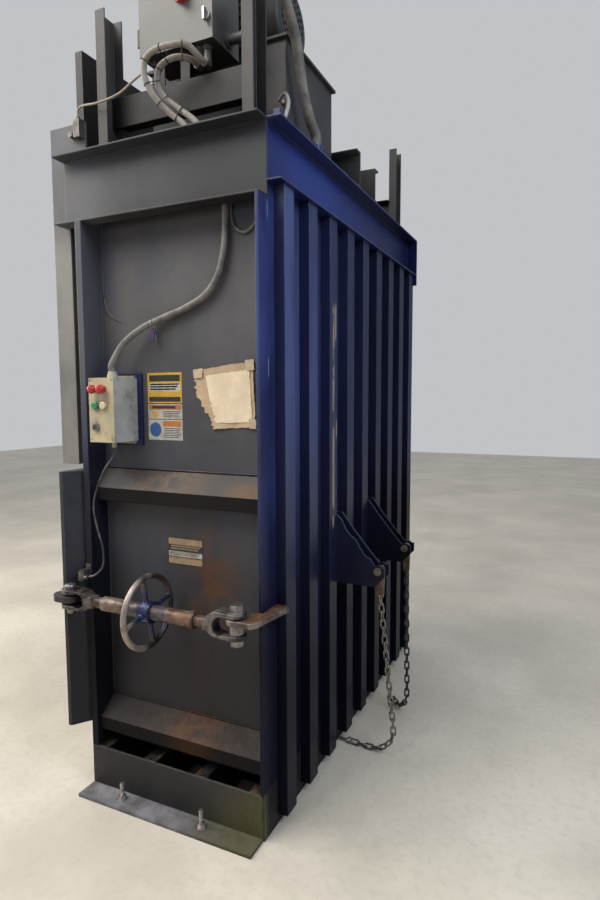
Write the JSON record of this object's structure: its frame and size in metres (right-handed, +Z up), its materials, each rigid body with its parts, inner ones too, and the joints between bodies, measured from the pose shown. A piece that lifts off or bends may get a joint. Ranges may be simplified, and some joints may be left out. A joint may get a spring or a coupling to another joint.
{
  "type": "vertical cardboard baler",
  "caption": "Upright baling press: ribbed steel body, hinged lower door, raised feed gate, screw latch with handwheel, top press cylinder and power unit, side control box, hanging chains.",
  "frame": {"origin": "centre of the base footprint between the outer frame planes, on the floor", "axes": "+Z up, -Y towards the control side, -X towards the door and feed opening, +X towards the ribbed rear wall"},
  "size_m": [1.2435, 2.19, 3.9314],
  "materials": {
    "navy_paint": "navy enamel, scuffed and dusty",
    "dusty_paint": "dark grey-blue enamel under dust, rust at the edges",
    "worn_steel": "bare forged steel, brown with rust and grease",
    "dull_zinc": "dull plated steel",
    "rod_chrome": "ground and plated",
    "enclosure_grey": "light grey powder coat",
    "box_tan": "dusty grey-green cast cover",
    "red_plastic": "worn red",
    "green_plastic": "worn green",
    "cream_plastic": "yellowed white",
    "conduit_plastic": "dusty ribless conduit",
    "cable_rubber": "dusty black"
  },
  "bodies": {
    "frame": {"base_sills": "dusty_paint", "floor_runners": "worn_steel", "floor_plate": "worn_steel", "side_walls": "dusty_paint", "rear_wall": "navy_paint", "rear_ribs": "navy_paint", "corner_posts": "navy_paint", "wall_stiffeners": "dusty_paint", "side_headers": "dusty_paint", "end_headers": "navy_paint", "gate_guides": "dusty_paint", "upper_columns": "dusty_paint", "top_crossbeams": "dusty_paint", "cylinder_beams": "navy_paint", "cylinder_barrel": "dusty_paint", "hydraulic_tank": "dusty_paint", "pump_motor": "dusty_paint", "fan_cowl": "dusty_paint", "electrical_enclosure": "enclosure_grey", "enclosure_panel": "dull_zinc", "control_box": "box_tan", "control_box_bracket": "navy_paint", "chain_brackets": "navy_paint", "chain_hangers": "worn_steel", "near_chain": "dull_zinc", "far_chain": "dull_zinc", "latch_anchor_arm": "worn_steel", "latch_bolt": "dull_zinc", "anchor_bolts": "dull_zinc", "limit_switches": "dull_zinc", "frame_hinges": "navy_paint", "control_conduit": "conduit_plastic", "latch_switch_cable": "cable_rubber", "enclosure_conduit_outer": "conduit_plastic", "enclosure_conduit_inner": "conduit_plastic", "gate_switch_cable": "cable_rubber", "motor_conduit": "conduit_plastic", "header_cable": "cable_rubber", "wall_cable_loop": "cable_rubber", "wall_wire": "cable_rubber"},
    "feed_gate": {"feed_gate": "dusty_paint"},
    "door": {"door_panel": "navy_paint", "door_stile": "navy_paint", "door_hinges": "navy_paint"},
    "latch_link": {"latch_right_jaw": "worn_steel"},
    "latch_wheel": {"latch_sleeve": "worn_steel", "latch_handwheel": "worn_steel"},
    "latch_jaw": {"latch_left_jaw": "worn_steel"},
    "latch_pin": {"latch_pin": "dull_zinc"},
    "platen": {"platen_plate": "worn_steel", "platen_beams": "navy_paint", "piston_rod": "rod_chrome"},
    "enclosure_door": {"enclosure_door": "enclosure_grey"},
    "disconnect_handle": {"disconnect_handle": "red_plastic"},
    "enclosure_knob": {"enclosure_knob": "dull_zinc"},
    "stop_button_left": {"stop_button_left": "red_plastic"},
    "stop_button_right": {"stop_button_right": "red_plastic"},
    "start_button": {"start_button": "green_plastic"},
    "reverse_button": {"reverse_button": "cream_plastic"},
    "key_selector": {"key_selector": "dull_zinc"}
  },
  "joints": [
    {"name": "gate_slide", "type": "slide", "parent": "frame", "child": "feed_gate", "axis": [0, 0, 1], "range_m": [-0.615, 0.05]},
    {"name": "door_hinge", "type": "hinge", "parent": "frame", "child": "door", "pos_m": [-0.48, 0.926, 0.772], "axis": [0, 0, 1], "range_deg": [-110, 0]},
    {"name": "latch_swing", "type": "hinge", "parent": "frame", "child": "latch_link", "pos_m": [0.336, -1.018, 0.8], "axis": [0, 0, 1], "range_deg": [0, 100]},
    {"name": "handwheel_spin", "type": "hinge", "parent": "latch_link", "child": "latch_wheel", "pos_m": [-0.035, -1.018, 0.8], "axis": [1, 0, 0], "range_deg": [0, 720]},
    {"name": "latch_screw", "type": "slide", "parent": "latch_link", "child": "latch_jaw", "axis": [-1, 0, 0], "range_m": [0, 0.016]},
    {"name": "latch_pin_pull", "type": "slide", "parent": "latch_jaw", "child": "latch_pin", "axis": [0, 0, 1], "range_m": [0, 0.13]},
    {"name": "platen_slide", "type": "slide", "parent": "frame", "child": "platen", "axis": [0, 0, 1], "range_m": [-1.25, 0]},
    {"name": "enclosure_door_hinge", "type": "hinge", "parent": "frame", "child": "enclosure_door", "pos_m": [-0.156, -0.8363, 3.025], "axis": [0, 0, 1], "range_deg": [-110, 0]},
    {"name": "disconnect_turn", "type": "hinge", "parent": "enclosure_door", "child": "disconnect_handle", "pos_m": [0.04468, -0.8423, 2.985], "axis": [0, 1, 0], "range_deg": [0, 90]},
    {"name": "knob_turn", "type": "hinge", "parent": "enclosure_door", "child": "enclosure_knob", "pos_m": [0.142, -0.8423, 2.872], "axis": [0, 1, 0], "range_deg": [0, 90]},
    {"name": "stop_left_press", "type": "slide", "parent": "frame", "child": "stop_button_left", "axis": [0, 1, 0], "range_m": [0, 0.006], "stiffness_N_per_m": 600},
    {"name": "stop_right_press", "type": "slide", "parent": "frame", "child": "stop_button_right", "axis": [0, 1, 0], "range_m": [0, 0.006], "stiffness_N_per_m": 600},
    {"name": "start_press", "type": "slide", "parent": "frame", "child": "start_button", "axis": [0, 1, 0], "range_m": [0, 0.006], "stiffness_N_per_m": 600},
    {"name": "reverse_press", "type": "slide", "parent": "frame", "child": "reverse_button", "axis": [0, 1, 0], "range_m": [0, 0.006], "stiffness_N_per_m": 600},
    {"name": "key_turn", "type": "hinge", "parent": "frame", "child": "key_selector", "pos_m": [-0.278, -0.986, 1.459], "axis": [0, 1, 0], "range_deg": [-45, 45]}
  ],
  "couplings": [
    {"joint": "latch_screw", "follows": "handwheel_spin", "m_per_rad": 0.0012732}
  ]
}
